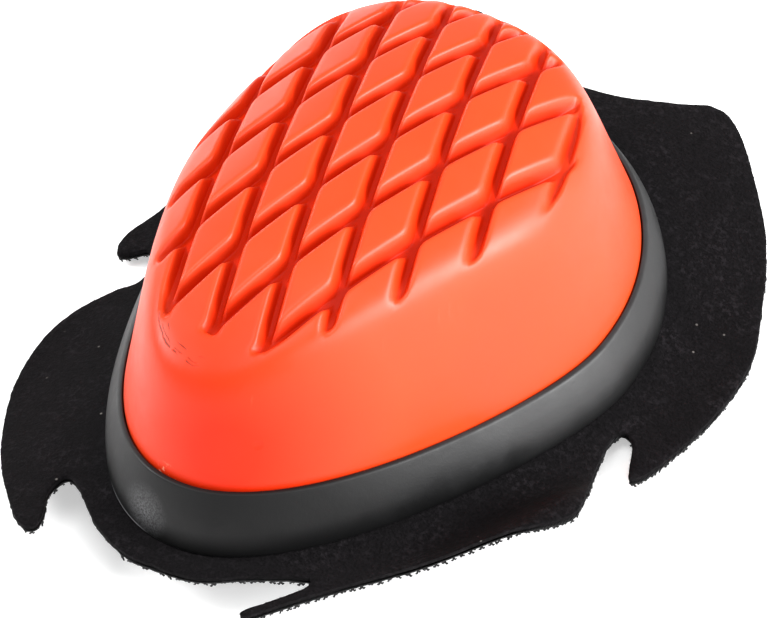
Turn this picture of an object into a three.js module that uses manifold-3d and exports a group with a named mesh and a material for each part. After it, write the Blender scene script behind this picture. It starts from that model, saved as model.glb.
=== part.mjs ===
// Knee slider: a moulded puck with a diamond tread, seated in a flared rubber base, on a felt-faced
// backing panel with a layer of hooks under it.
// Millimetres, +Z up. X runs across the knee, +Y from the narrow nose to the wide heel. The origin is
// the middle of the hook layer's flat underside.
import * as THREE from "three";
import { mergeVertices } from "three/addons/utils/BufferGeometryUtils.js";
import Module from "manifold-3d";

const wasm = await Module();
wasm.setup();

// Thickness of the layers under the base, and the clearance between pieces that touch
const hookThickness = 1;
const feltThickness = 1.2;
const clearance = 0.3;

// Bend of the whole slider over the knee: a flat strip along the middle, then a curve to each side
const stripHalfWidth = 8;
const kneeRadius = 96;
const wingDrop = 12.5;

// The wing on the right of the nose is curled up: from where beside the notch, over what run along the
// slider, and between which shares outside the foot of the base
const curlHeight = 12;
const curlStartY = 10;
const curlRun = 22;
const curlBegins = 0.15;
const curlFull = 0.8;

// Plan of the puck's lower edge, measured from its widest station
const puckHalfWidth = 44.3;
const puckWidestY = 23.6;
const puckNoseLength = 73.2;
const puckHeelLength = 44.4;

// Crown and walls of the puck
const crownY = 16.5;
const crownHeight = 34.9;
const sideFall = 10.8;
const noseFall = 17;
const noseFallPower = 2.4;
const heelFall = 9;
const wallDraftDeg = 16;
const shoulderSharpness = 7.9;

// Diamond tread: half diagonals of a diamond with its share of groove, and the groove's section
const diamondHalfWidth = 5.34;
const diamondHalfLength = 16.5;
const grooveTopWidth = 2.9;
const grooveFloorWidth = 1.3;
const grooveDepth = 2.6;

// Rubber base: its lip round the puck, the pocket that holds the puck, and how far its foot spreads
const lipHeight = 9.4;
const lipRiseAtNose = 3.3;
const lipThickness = 1.7;
const lipThicknessHeel = 1;
const pocketDepth = 4;
const footSpreadSide = 5.2;
const footSpreadNose = 5.8;
const footSpreadHeel = 2.7;
const footBulge = 0.9;

// Backing panel: how far it reaches past the foot of the base
const panelMarginSide = 16.5;
const panelMarginNose = 4.9;
const panelMarginHeel = 11.8;

// Exponents of the egg-shaped plan, which the puck and the base share
const plan = { noseAlong: 1.25, noseAcross: 2.14, heelAlong: 2.13, heelAcross: 2.28 };

const puckEgg = {
  halfWidth: puckHalfWidth,
  widestY: puckWidestY,
  nose: puckNoseLength,
  heel: puckHeelLength,
};
const lipEgg = grown(
  puckEgg,
  clearance + lipThickness,
  clearance + lipThickness,
  clearance + lipThicknessHeel,
);
const footEgg = grown(puckEgg, footSpreadSide, footSpreadNose, footSpreadHeel);

const panelHalfWidth = footEgg.halfWidth + panelMarginSide;
const panelNose = footEgg.nose - footEgg.widestY + panelMarginNose;
const panelHeel = footEgg.heel + footEgg.widestY + panelMarginHeel;

// Heights of the layers over the bent reference surface
const feltUnderside = hookThickness + clearance;
const feltFace = feltUnderside + feltThickness;
const baseUnderside = feltFace + clearance;
const lipLevel = feltFace + lipHeight;

// The panel's outline, which is cut and worn a little differently on its two sides. side is a share of
// the panel's half width, along a share of its reach to the nose (below 0) or to the heel.
// The right side runs from nose to heel: tongue, slit, small wing, notch, large wing.
const rightOutline = [
  { side: 0.136, along: -0.977 },
  { side: 0.258, along: -0.887 },
  { side: 0.382, along: -0.803 },
  { side: 0.402, along: -0.798 },
  { side: 0.402, along: -0.834 },
  { side: 0.352, along: -0.935 },
  { side: 0.312, along: -1.007 },
  { side: 0.315, along: -1.032 },
  { side: 0.338, along: -1.017 },
  { side: 0.409, along: -0.889 },
  { side: 0.527, along: -0.706 },
  { side: 0.694, along: -0.498 },
  { side: 0.844, along: -0.343 },
  { side: 0.921, along: -0.222 },
  { side: 0.898, along: -0.108 },
  { side: 0.829, along: 0.024 },
  { side: 0.795, along: 0.133 },
  { side: 0.808, along: 0.182 },
  { side: 0.847, along: 0.17 },
  { side: 0.894, along: 0.092 },
  { side: 0.918, along: 0.085 },
  { side: 0.958, along: 0.19 },
  { side: 0.988, along: 0.364 },
  { side: 0.977, along: 0.521 },
  { side: 0.905, along: 0.676 },
  { side: 0.788, along: 0.861 },
  { side: 0.642, along: 1.004 },
  { side: 0.521, along: 1.095 },
  { side: 0.435, along: 1.112 },
  { side: 0.333, along: 1.067 },
  { side: 0.182, along: 1.016 },
];
// The left side runs from heel to nose
const leftOutline = [
  { side: 0.182, along: 1.016 },
  { side: 0.303, along: 1.073 },
  { side: 0.394, along: 1.127 },
  { side: 0.47, along: 1.115 },
  { side: 0.606, along: 1.006 },
  { side: 0.758, along: 0.848 },
  { side: 0.848, along: 0.667 },
  { side: 0.876, along: 0.473 },
  { side: 0.876, along: 0.291 },
  { side: 0.914, along: 0.166 },
  { side: 0.891, along: 0.103 },
  { side: 0.852, along: 0.112 },
  { side: 0.8, along: 0.135 },
  { side: 0.748, along: 0.104 },
  { side: 0.736, along: 0.027 },
  { side: 0.795, along: -0.025 },
  { side: 0.861, along: -0.156 },
  { side: 0.876, along: -0.318 },
  { side: 0.823, along: -0.536 },
  { side: 0.679, along: -0.794 },
  { side: 0.502, along: -0.985 },
  { side: 0.421, along: -1.043 },
  { side: 0.382, along: -1.033 },
  { side: 0.388, along: -0.982 },
  { side: 0.427, along: -0.894 },
  { side: 0.418, along: -0.823 },
  { side: 0.362, along: -0.839 },
  { side: 0.221, along: -0.949 },
  { side: 0.091, along: -1.002 },
];

// An egg-shaped plan that is larger all round
function grown(egg, side, nose = side, heel = side) {
  return {
    halfWidth: egg.halfWidth + side,
    widestY: egg.widestY,
    nose: egg.nose + nose,
    heel: egg.heel + heel,
  };
}

function smooth(share) {
  const t = THREE.MathUtils.clamp(share, 0, 1);
  return t * t * (3 - 2 * t);
}

// Point of an egg-shaped plan at a turn from 0 to 2 pi, with its outward normal
function eggPoint(egg, turn) {
  const c = Math.cos(turn);
  const s = Math.sin(turn);
  const nose = s < 0;
  const reach = nose ? egg.nose : egg.heel;
  const along = nose ? plan.noseAlong : plan.heelAlong;
  const across = nose ? plan.noseAcross : plan.heelAcross;
  const x = Math.sign(c) * Math.abs(c) ** (2 / across);
  const y = Math.sign(s) * Math.abs(s) ** (2 / along);
  const normal = new THREE.Vector2(
    (Math.sign(x) * Math.abs(x) ** (across - 1) * across) / egg.halfWidth,
    (Math.sign(y) * Math.abs(y) ** (along - 1) * along) / reach,
  ).normalize();
  return { x: x * egg.halfWidth, y: egg.widestY + y * reach, normal };
}

// How far a point lies outside an egg-shaped plan: 0 on the outline, more beyond it
function outside(egg, x, y) {
  const nose = y < egg.widestY;
  const t = nose ? (egg.widestY - y) / egg.nose : (y - egg.widestY) / egg.heel;
  const across = nose ? plan.noseAcross : plan.heelAcross;
  const along = nose ? plan.noseAlong : plan.heelAlong;
  return (Math.abs(x) / egg.halfWidth) ** across + t ** along - 1;
}

// Height of the bent reference surface, the underside of the slider. The wings lie level where they
// have dropped as far as the surface that the slider rests on.
function bend(x) {
  const fall = Math.max(0, Math.abs(x) - stripHalfWidth) ** 2 / (2 * kneeRadius);
  return (-fall * wingDrop) / (fall ** 4 + wingDrop ** 4) ** 0.25;
}

function curl(x, y) {
  const overWing = smooth((outside(footEgg, x, y) - curlBegins) / (curlFull - curlBegins));
  const rightSide = smooth(x / (puckHalfWidth / 2));
  const noseSide = smooth((curlStartY - y) / curlRun);
  return curlHeight * overWing * rightSide * noseSide;
}

function panelHeight(x, y) {
  return bend(x) + curl(x, y);
}

// Height of the base's lip, which climbs towards the nose
function lipSurface(x, y) {
  const toNose = Math.max(0, crownY - y) / (puckNoseLength - puckWidestY + crownY);
  return bend(x) + lipLevel + lipRiseAtNose * toNose ** 2;
}

// Height of the crown over the lip before its shoulder turns down
function crownOver(x, y) {
  const across = Math.abs(x) / puckHalfWidth;
  const toNose = Math.max(0, crownY - y) / (puckNoseLength - puckWidestY + crownY);
  const toHeel = Math.max(0, y - crownY) / (puckHeelLength + puckWidestY - crownY);
  const lengthways = noseFall * toNose ** noseFallPower + heelFall * toHeel ** 2;
  return crownHeight - sideFall * across ** 2 - lengthways;
}

// Top of the puck at a point that lies inset from its lower edge: a drafted wall that turns over the
// shoulder into the crown
function puckSurface(x, y, inset) {
  const crown = Math.max(crownOver(x, y), 1);
  const wall = inset / Math.tan(THREE.MathUtils.degToRad(wallDraftDeg));
  const blend = (crown ** shoulderSharpness + wall ** shoulderSharpness) ** (1 / shoulderSharpness);
  return lipSurface(x, y) + (crown * wall) / blend;
}

// Closed geometry over rings of equal length, ordered from the bottom up, with a point at each end
function skin(rings, low, high) {
  const count = rings[0].length;
  const points = [low, ...rings.flat(), high];
  const at = (ring, k) => 1 + ring * count + (k % count);
  const last = rings.length - 1;
  const index = [];
  for (let k = 0; k < count; k++) {
    index.push(0, at(0, k + 1), at(0, k));
    index.push(points.length - 1, at(last, k), at(last, k + 1));
    for (let r = 0; r < last; r++) {
      index.push(at(r, k), at(r, k + 1), at(r + 1, k + 1));
      index.push(at(r, k), at(r + 1, k + 1), at(r + 1, k));
    }
  }
  return new THREE.BufferGeometry().setFromPoints(points).setIndex(index);
}

function middle(points) {
  const sum = points.reduce((total, p) => total.add(p), new THREE.Vector3());
  return sum.divideScalar(points.length);
}

// Ring of an egg-shaped plan, drawn in towards the crown by a share, with its height worked out there
function ring(egg, share, height, count) {
  const points = [];
  for (let k = 0; k < count; k++) {
    const p = eggPoint(egg, ((k + 0.5) * 2 * Math.PI) / count);
    const x = p.x * share;
    const y = crownY + (p.y - crownY) * share;
    const inset = (1 - share) * (p.normal.x * p.x + p.normal.y * (p.y - crownY));
    points.push(new THREE.Vector3(x, y, height(x, y, inset)));
  }
  return points;
}

function toSolid(geometry) {
  const bare = geometry.index ? geometry.toNonIndexed() : geometry.clone();
  bare.deleteAttribute("normal");
  bare.deleteAttribute("uv");
  const merged = mergeVertices(bare, 1e-4);
  const vertProperties = new Float32Array(merged.attributes.position.array);
  const triVerts = new Uint32Array(merged.index.array);
  return new wasm.Manifold(new wasm.Mesh({ numProp: 3, vertProperties, triVerts }));
}

function toGeometry(solid) {
  const mesh = solid.getMesh();
  return new THREE.BufferGeometry()
    .setAttribute("position", new THREE.BufferAttribute(new Float32Array(mesh.vertProperties), 3))
    .setIndex(new THREE.BufferAttribute(new Uint32Array(mesh.triVerts), 1));
}

// One groove of the tread, from one side of the puck to the other, with its floor under the crown. It
// leans to one side or the other, and crosses the middle line at midY.
function groove(lean, midY) {
  const along = new THREE.Vector2(lean * diamondHalfWidth, diamondHalfLength).normalize();
  const across = new THREE.Vector2(along.y, -along.x);
  const reach = puckNoseLength + puckHeelLength;
  const steps = 30;
  const flare = (grooveTopWidth - grooveFloorWidth) / 2 / grooveDepth;
  const headroom = crownHeight;
  const rings = [];
  for (let k = 0; k <= steps; k++) {
    const run = reach * ((2 * k) / steps - 1);
    const x = along.x * run;
    const y = midY + along.y * run;
    const floor = lipSurface(x, y) + crownOver(x, y) - grooveDepth;
    const half = grooveFloorWidth / 2;
    const wide = half + flare * headroom;
    const section = [
      [-half, floor],
      [-wide, floor + headroom],
      [wide, floor + headroom],
      [half, floor],
    ];
    rings.push(section.map(([out, z]) => new THREE.Vector3(x + across.x * out, y + across.y * out, z)));
  }
  return toSolid(skin(rings, middle(rings[0]), middle(rings[steps])));
}

function puck() {
  const count = 56;
  const shares = [1, 0.985, 0.965, 0.94, 0.91, 0.88, 0.85, 0.81, 0.75, 0.66, 0.54, 0.4, 0.22];
  const seat = (x, y) => lipSurface(x, y) - pocketDepth;
  const under = [0.3, 0.6, 0.85, 1].map((share) => ring(puckEgg, share, seat, count));
  const over = shares.map((share) => ring(puckEgg, share, puckSurface, count));
  const low = new THREE.Vector3(0, crownY, seat(0, crownY));
  const high = new THREE.Vector3(0, crownY, lipSurface(0, crownY) + crownHeight);
  let body = toSolid(skin([...under, ...over], low, high));
  const rows = Math.ceil((puckNoseLength + puckHeelLength) / (2 * diamondHalfLength)) + 1;
  for (let row = -rows; row <= rows; row++) {
    for (const lean of [-1, 1]) body = body.subtract(groove(lean, 2 * row * diamondHalfLength));
  }
  return toGeometry(body);
}

function rubberBase() {
  const count = 56;
  const under = (x, y) => bend(x) + baseUnderside;
  const floor = (x, y) => lipSurface(x, y) - pocketDepth - clearance;
  const pocket = grown(puckEgg, clearance);
  const rings = [0.22, 0.42, 0.6, 0.75, 0.88, 1].map((share) => ring(footEgg, share, under, count));
  const foot = rings.at(-1);
  const lip = ring(lipEgg, 1, lipSurface, count);
  for (const share of [0.35, 0.7]) {
    const bulge = footBulge * Math.sin(Math.PI * share);
    rings.push(
      foot.map((p, k) => {
        const out = eggPoint(footEgg, ((k + 0.5) * 2 * Math.PI) / count).normal;
        const q = p.clone().lerp(lip[k], share);
        return q.add(new THREE.Vector3(out.x * bulge, out.y * bulge, 0));
      }),
    );
  }
  rings.push(lip, ring(pocket, 1, lipSurface, count));
  for (const share of [1, 0.85, 0.6, 0.3]) rings.push(ring(pocket, share, floor, count));
  const low = new THREE.Vector3(0, crownY, under(0, crownY));
  const high = new THREE.Vector3(0, crownY, floor(0, crownY));
  return skin(rings, low, high);
}

// The panel's whole outline as a flat shape
function panelShape() {
  const spot = (side, { side: share, along }) =>
    new THREE.Vector2(side * share * panelHalfWidth, along * (along < 0 ? panelNose : panelHeel));
  const nose = new THREE.Vector2(0, -panelNose);
  const shape = new THREE.Shape();
  shape.moveTo(nose.x, nose.y);
  shape.splineThru([
    ...rightOutline.map((row) => spot(1, row)),
    new THREE.Vector2(0, panelHeel),
    ...leftOutline.map((row) => spot(-1, row)),
    nose,
  ]);
  return shape;
}

// A bent sheet of the panel's outline between two heights over the reference surface
function sheet(low, high) {
  const spare = 1.15;
  const bay = (spare * panelHalfWidth - stripHalfWidth) / 11;
  const columns = Array.from({ length: 12 }, (_, k) => stripHalfWidth + bay * k);
  const xs = [...columns.map((x) => -x).reverse(), 0, ...columns];
  const bands = 18;
  const band = (spare * (panelNose + panelHeel)) / bands;
  const ys = Array.from({ length: bands + 1 }, (_, k) => band * k - spare * panelNose);
  const rings = ys.map((y) => [
    ...xs.map((x) => new THREE.Vector3(x, y, panelHeight(x, y) + high)),
    ...[...xs].reverse().map((x) => new THREE.Vector3(x, y, panelHeight(x, y) + low)),
  ]);
  const slab = slabOf(rings, xs.length);
  const blankDepth = wingDrop + curlHeight + high;
  const blank = new THREE.ExtrudeGeometry(panelShape(), {
    depth: 4 * blankDepth,
    bevelEnabled: false,
    curveSegments: 2,
  }).translate(0, 0, -2 * blankDepth);
  return toGeometry(slab.intersect(toSolid(blank)));
}

// Closed solid over sections that each run along the upper side and back along the underside
function slabOf(rings, columns) {
  const count = 2 * columns;
  const at = (r, k) => r * count + (k % count);
  const index = [];
  for (let r = 0; r < rings.length - 1; r++) {
    for (let k = 0; k < count; k++) {
      // Both sides are split along the same diagonals, so sheets that lie on each other match
      if (k < columns) {
        index.push(at(r, k), at(r, k + 1), at(r + 1, k + 1));
        index.push(at(r, k), at(r + 1, k + 1), at(r + 1, k));
      } else {
        index.push(at(r, k), at(r, k + 1), at(r + 1, k));
        index.push(at(r, k + 1), at(r + 1, k + 1), at(r + 1, k));
      }
    }
  }
  const last = rings.length - 1;
  for (let k = 0; k < columns - 1; k++) {
    const far = count - 1 - k;
    index.push(at(0, k), at(0, far), at(0, k + 1));
    index.push(at(0, k + 1), at(0, far), at(0, far - 1));
    index.push(at(last, k), at(last, k + 1), at(last, far));
    index.push(at(last, k + 1), at(last, far - 1), at(last, far));
  }
  return toSolid(new THREE.BufferGeometry().setFromPoints(rings.flat()).setIndex(index));
}

const materials = {
  puck: new THREE.MeshStandardMaterial({ color: 0xff5230, roughness: 0.42, metalness: 0 }),
  rubber: new THREE.MeshStandardMaterial({ color: 0x464648, roughness: 0.7, metalness: 0 }),
  felt: new THREE.MeshStandardMaterial({ color: 0x1a181a, roughness: 1, metalness: 0 }),
  hooks: new THREE.MeshStandardMaterial({ color: 0x121213, roughness: 0.6, metalness: 0 }),
};

function named(name, geometry, material) {
  const mesh = new THREE.Mesh(geometry, material);
  mesh.name = name;
  return mesh;
}

const slider = new THREE.Group();
slider.add(named("slider_puck", puck(), materials.puck));
slider.add(named("rubber_base", rubberBase(), materials.rubber));
slider.add(named("felt_backing", sheet(feltUnderside, feltFace), materials.felt));
slider.add(named("hook_layer", sheet(0, hookThickness), materials.hooks));

export default slider;
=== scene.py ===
"""Knee slider: a moulded puck with a diamond tread, seated in a flared rubber base, on a felt-faced backing
panel with a layer of hooks under it. Metres, +Z up, +Y from the narrow nose to the wide heel."""

import math
import random

import bmesh
import bpy
import numpy as np
from bpy.props import FloatProperty, FloatVectorProperty, IntProperty, PointerProperty
from mathutils import Matrix, Vector
from mathutils.geometry import delaunay_2d_cdt


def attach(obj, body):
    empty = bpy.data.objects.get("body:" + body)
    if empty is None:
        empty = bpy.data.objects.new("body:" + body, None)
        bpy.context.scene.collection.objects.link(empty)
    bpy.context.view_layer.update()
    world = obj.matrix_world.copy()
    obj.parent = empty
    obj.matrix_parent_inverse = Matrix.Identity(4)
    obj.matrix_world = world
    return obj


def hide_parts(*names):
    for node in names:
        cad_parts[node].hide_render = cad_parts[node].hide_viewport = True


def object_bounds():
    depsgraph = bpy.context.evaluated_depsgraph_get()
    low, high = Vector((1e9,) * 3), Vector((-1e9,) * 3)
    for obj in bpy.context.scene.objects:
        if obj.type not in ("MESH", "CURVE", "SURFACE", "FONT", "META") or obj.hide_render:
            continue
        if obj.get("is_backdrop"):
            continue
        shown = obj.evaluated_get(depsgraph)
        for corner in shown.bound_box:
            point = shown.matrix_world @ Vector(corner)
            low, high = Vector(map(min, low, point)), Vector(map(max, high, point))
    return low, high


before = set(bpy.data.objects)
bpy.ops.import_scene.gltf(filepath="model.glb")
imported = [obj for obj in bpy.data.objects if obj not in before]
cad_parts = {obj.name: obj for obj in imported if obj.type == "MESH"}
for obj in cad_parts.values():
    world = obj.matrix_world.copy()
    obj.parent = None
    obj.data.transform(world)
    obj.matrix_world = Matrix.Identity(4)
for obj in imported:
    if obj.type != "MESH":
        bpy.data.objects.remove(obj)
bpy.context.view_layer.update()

bl_info = {
    "name": "Knee Slider",
    "version": (1, 0, 0),
    "blender": (4, 5, 0),
    "location": "3D View > Sidebar > Knee Slider",
    "description": "Models a knee slider: treaded puck, rubber base, felt backing and hook tape",
    "category": "Add Mesh",
}

MM = 0.001

# Exponents of the egg-shaped plan that the puck and the base share
NOSE_ALONG = 1.068
NOSE_ACROSS = 2.14
HEEL_ALONG = 2.13
HEEL_ACROSS = 2.28

# How softly the outline's two halves leave the widest station, as a share of their lengths
NOSE_EASE = 0.12
HEEL_EASE = 1e-6

# Steps of the searches for an outline and for the shoulder
EDGE_SEARCH = 40
SHOULDER_SEARCH = 30

# Rings of the pieces' skins, as shares of the way: down the puck's walls, and in to the middle of its
# underside, of the base's underside and of the base's pocket
WALL_SHARES = (0, 0.08, 0.17, 0.27, 0.38, 0.5, 0.62, 0.74, 0.87, 1)
UNDER_SHARES = (1, 0.9, 0.7, 0.45, 0.2, 0)
FOOT_SHARES = (0, 0.25, 0.5, 0.7, 0.85, 0.95)
BASE_COLUMNS = 288
BASE_WALL_RINGS = 13
FOOT_RADIUS = 0.25 * MM
POCKET_RADIUS = 0.3 * MM

# Upright planes that trim the tread, and the share of the crown at which every groove has run out
TRIM_PLANES = 72
GROOVES_RUN_OUT = 0.86

# Points of the panel's edge: steps for each row of its table, then their distance
OUTLINE_STEPS = 8
EDGE_SPACING = 0.7 * MM

# Hooks: their distance in the field and along the rim as shares of the pitch, the field's distance from
# the edge, and the size of the rim's hooks beside the others
FIELD_PITCH = 1.16
RIM_PITCH = 0.85
FIELD_MARGIN = 1.5 * MM
RIM_HOOK_SIZE = 0.88
# A hook's middle line: (out, down) as shares of its height, from root to tip, and its thickness there
HOOK_PATH = ((0.06, 0), (0.16, -0.5), (0.42, -0.97), (0.72, -0.7))
HOOK_THICKNESS = (1.3, 1.1, 1.0, 0.7)

# Fibres: the share of them that stands along the edge, and their length beside that of the others
EDGE_FIBRES = 0.5
EDGE_FIBRE_LENGTH = 0.55

# Painted shade and marks, each a ball about a place: (centre, full within, gone beyond) in millimetres
MARKS = {
    "painted shade at the puck's nose": ((9, -46, 22), 6, 34),
    "chips": ((-2.5, -49.8, 14.6), 1.2, 3.2),
    "dent": ((13.4, -41.5, 23.4), 0.1, 1.1),
    "scratches": ((-6, -39, 37), 5, 9),
    "painted shade at the base's nose": ((16, -44, 6), 12, 46),
    "scuff": ((-5, -52, 7), 1, 6),
    "moulding flash": ((-12, -52.5, 2.5), 5, 8),
}
SCRATCH_CENTRE = (0, -29 * MM, 41.2 * MM)
# (radius, half width) of each scratch in millimetres
SCRATCHES = ((11.4, 0.09), (12.5, 0.06), (13.1, 0.12))
CHIPPED_PLASTIC = (0.8, 0.24, 0.15, 1)
LINT = (0.16, 0.15, 0.14, 1)
# Share of red, green and blue that is left of the plastic's colour where shade is painted on it: at the nose
# and down in the grooves
NOSE_PAINTED_SHADE = (0.95, 0.42, 0.3)
GROOVE_PAINTED_SHADE = (0.78, 0.38, 0.25)

# Studio: the floor glows a little, so that its shadows stay pale
FLOOR_GLOW = 0.5
WORLD_STRENGTH = 0.7
LAMP_DISTANCE = 1.2
# (name, azimuth, elevation, width, height, power), in degrees, metres and watts
LAMPS = (
    ("key", 102, 24, 1.1, 0.6, 22.0),
    ("edge", 112, 22, 0.35, 0.35, 7.0),
    ("fill", -69, 36, 0.3, 0.3, 10.0),
    ("back", -120, 14, 0.6, 0.4, 2.5),
    ("top", 30, 80, 0.6, 0.6, 5.3),
)

# The panel's outline, which is cut and worn a little differently on its two sides: (side, along) as shares
# of the panel's half width and of its reach to the nose (below 0) or to the heel. From nose to heel on the
# right: tongue, slit, small wing, notch, large wing.
RIGHT_OUTLINE = (
    (0.136, -0.977), (0.258, -0.887), (0.382, -0.803), (0.402, -0.798), (0.402, -0.834), (0.352, -0.935),
    (0.312, -1.007), (0.315, -1.032), (0.338, -1.017), (0.409, -0.889), (0.527, -0.706), (0.694, -0.498),
    (0.844, -0.343), (0.921, -0.222), (0.898, -0.108), (0.829, 0.024), (0.795, 0.133), (0.808, 0.182),
    (0.847, 0.17), (0.894, 0.092), (0.918, 0.085), (0.958, 0.19), (0.988, 0.364), (0.977, 0.521),
    (0.905, 0.676), (0.788, 0.861), (0.642, 1.004), (0.521, 1.095), (0.435, 1.112), (0.333, 1.067),
    (0.182, 1.016),
)  # fmt: skip
# From heel to nose on the left
LEFT_OUTLINE = (
    (0.182, 1.016), (0.303, 1.073), (0.394, 1.127), (0.47, 1.115), (0.606, 1.006), (0.758, 0.848),
    (0.848, 0.667), (0.876, 0.473), (0.876, 0.291), (0.914, 0.166), (0.891, 0.103), (0.852, 0.112),
    (0.8, 0.135), (0.748, 0.104), (0.736, 0.027), (0.795, -0.025), (0.861, -0.156), (0.876, -0.318),
    (0.823, -0.536), (0.679, -0.794), (0.502, -0.985), (0.421, -1.043), (0.382, -1.033), (0.388, -0.982),
    (0.427, -0.894), (0.418, -0.823), (0.362, -0.839), (0.221, -0.949), (0.091, -1.002),
)  # fmt: skip


def length(name, description, millimetres):
    default = millimetres * MM
    return FloatProperty(name=name, description=description, default=default, unit="LENGTH", precision=5)


def angle(name, description, degrees):
    return FloatProperty(name=name, description=description, default=math.radians(degrees), subtype="ANGLE")


def colour(name, description, default):
    return FloatVectorProperty(
        name=name, description=description, default=default, subtype="COLOR", min=0, max=1, size=3
    )


class BendSizes(bpy.types.PropertyGroup):
    """How the whole slider bends over the knee"""

    strip: length("Flat strip", "Half width of the flat strip along the middle", 8)
    radius: length("Knee radius", "Radius of the bend to each side", 96)
    drop: length("Wing drop", "How far the wings lie below the middle", 12.5)
    curl: length("Curl height", "How far the right nose wing curls up", 12)
    curl_start: length("Curl start", "Station beside the notch where the curl starts", 10)
    curl_run: length("Curl run", "Run along the slider over which the curl rises", 22)
    curl_begins: FloatProperty(name="Curl begins", description="Share outside the foot", default=0.15)
    curl_full: FloatProperty(name="Curl full", description="Share outside the foot", default=0.8)


class PuckSizes(bpy.types.PropertyGroup):
    """Plan, crown and walls of the puck"""

    half_width: length("Half width", "Half width of the lower edge", 44.3)
    widest_y: length("Widest station", "Where the plan is widest", 23.6)
    nose: length("Nose length", "Reach from the widest station to the nose", 73.2)
    heel: length("Heel length", "Reach from the widest station to the heel", 44.4)
    crown_y: length("Crown station", "Where the crown is highest", 16.5)
    crown: length("Crown height", "Height of the crown over the base's lip", 34.9)
    side_fall: length("Side fall", "How far the crown falls to the sides", 10.8)
    nose_fall: length("Nose fall", "How far the crown falls to the nose", 17)
    heel_fall: length("Heel fall", "How far the crown falls to the heel", 9)
    round_from: length("Left rounding", "Side station where the worn left shoulder starts to round off", 27)
    round_radius: length("Left radius", "Radius of the worn left shoulder", 6.5)
    draft: angle("Wall draft", "Lean of the walls", 16)
    sharpness: FloatProperty(name="Shoulder", description="Sharpness of the shoulder", default=7.9)


class TreadSizes(bpy.types.PropertyGroup):
    """Diamond tread of the puck"""

    half_width: length("Diamond half width", "Half diagonal across the slider", 5.34)
    half_length: length("Diamond half length", "Half diagonal along the slider", 16.5)
    top: length("Groove top", "Width of a groove at its top", 3.25)
    floor: length("Groove floor", "Width of a groove at its floor", 1)
    depth: length("Groove depth", "Depth of a groove", 3.1)
    edge_radius: length("Edge radius", "Rounding of the blocks' top edges", 0.95)
    floor_radius: length("Floor radius", "Fillet at the groove's floor", 0.3)
    corner_blend: length("Corner blend", "Rounding of the blocks' corners in plan", 0.8)
    end_side: length("Side margin", "From the puck's side to the grooves' ends", 9)
    end_nose: length("Nose margin", "From the puck's nose to the grooves' ends", 11)
    end_front: length("Front end", "Station across the nose past which no groove runs", -35.4)
    end_heel: length("Heel margin", "From the puck's heel to the grooves' ends", 8)
    end_radius: length("End radius", "Rounding of a groove's end in plan", 1.9)
    end_run: length("End run", "Run over which a groove's floor rises at its end", 5)


class BaseSizes(bpy.types.PropertyGroup):
    """Rubber base: its lip, pocket and foot"""

    lip_height: length("Lip height", "Height of the lip over the felt", 9.4)
    lip_rise: length("Lip rise", "How far the lip climbs to the nose", 3.3)
    lip: length("Lip thickness", "Thickness of the lip round the puck", 1)
    lip_heel: length("Lip at the heel", "Thickness of the lip at the heel", 0.8)
    lip_radius: length("Lip radius", "Rounding of the lip's outer corner", 0.4)
    pocket: length("Pocket depth", "Depth of the puck's seat under the lip", 4)
    clearance: length("Clearance", "Gap between pieces that touch", 0.3)
    side: length("Side spread", "How far the foot spreads to the sides", 5.2)
    nose: length("Nose spread", "How far the foot spreads to the nose", 5.8)
    heel: length("Heel spread", "How far the foot spreads to the heel", 2.7)
    bulge: length("Bulge", "How far the wall swells out", 0.9)


class PanelSizes(bpy.types.PropertyGroup):
    """Felt and hook layers of the backing panel"""

    hooks: length("Hook layer", "Thickness of the hook layer", 1)
    felt: length("Felt", "Thickness of the felt", 1.2)
    side: length("Side margin", "How far the panel reaches past the foot's sides", 16.5)
    nose: length("Nose margin", "How far the panel reaches past the foot's nose", 4.9)
    heel: length("Heel margin", "How far the panel reaches past the foot's heel", 11.8)
    tape: length("Tape", "Thickness of the hook layer's woven ground", 0.4)
    pitch: length("Hook pitch", "Distance between hooks", 2.05)
    hook_height: length("Hook height", "How far a hook stands off the tape", 0.85)
    hook_radius: length("Hook radius", "Half thickness of a hook at its root", 0.2)
    fibre: length("Fibre", "Length of a loose felt fibre", 1.1)
    fibre_radius: length("Fibre radius", "Half thickness of a loose felt fibre", 0.03)
    fibres: IntProperty(name="Fibres", description="How many loose fibres stand off the felt", default=3200)


class Colours(bpy.types.PropertyGroup):
    """Colours of the finishes"""

    puck: colour("Puck", "Orange-red moulded plastic", (0.69, 0.0455, 0.005))
    rubber: colour("Rubber", "Dark grey rubber", (0.0125, 0.0125, 0.013))
    felt: colour("Felt", "Black felt", (0.0032, 0.0028, 0.0032))
    hooks: colour("Hooks", "Black hook tape", (0.003, 0.003, 0.0032))
    floor: colour("Floor", "Pale floor", (0.86, 0.86, 0.86))


class StudioSizes(bpy.types.PropertyGroup):
    """Camera, floor and lights"""

    lens: FloatProperty(name="Lens", description="Focal length in millimetres", default=199.0)
    azimuth: angle("Azimuth", "Camera's turn", 38.42)
    elevation: angle("Elevation", "Camera's height", 46.31)
    roll: angle("Roll", "Camera's roll", 7.19)
    aim: FloatVectorProperty(
        name="Aim",
        description="Where the camera looks",
        default=(15.9 * MM, -4.06 * MM, 25 * MM),
        unit="LENGTH",
    )
    distance: length("Distance", "From the aim to the camera", 772.35)
    floor_size: length("Floor", "Side of the floor", 6000)


class KneeSlider(bpy.types.PropertyGroup):
    """All the sizes and colours of the knee slider"""

    bend: PointerProperty(type=BendSizes, name="Bend")
    puck: PointerProperty(type=PuckSizes, name="Puck")
    tread: PointerProperty(type=TreadSizes, name="Tread")
    base: PointerProperty(type=BaseSizes, name="Base")
    panel: PointerProperty(type=PanelSizes, name="Panel")
    colours: PointerProperty(type=Colours, name="Colours")
    studio: PointerProperty(type=StudioSizes, name="Studio")


def sizes():
    return bpy.context.scene.knee_slider


def smooth(share):
    t = np.clip(share, 0, 1)
    return t * t * (3 - 2 * t)


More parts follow.
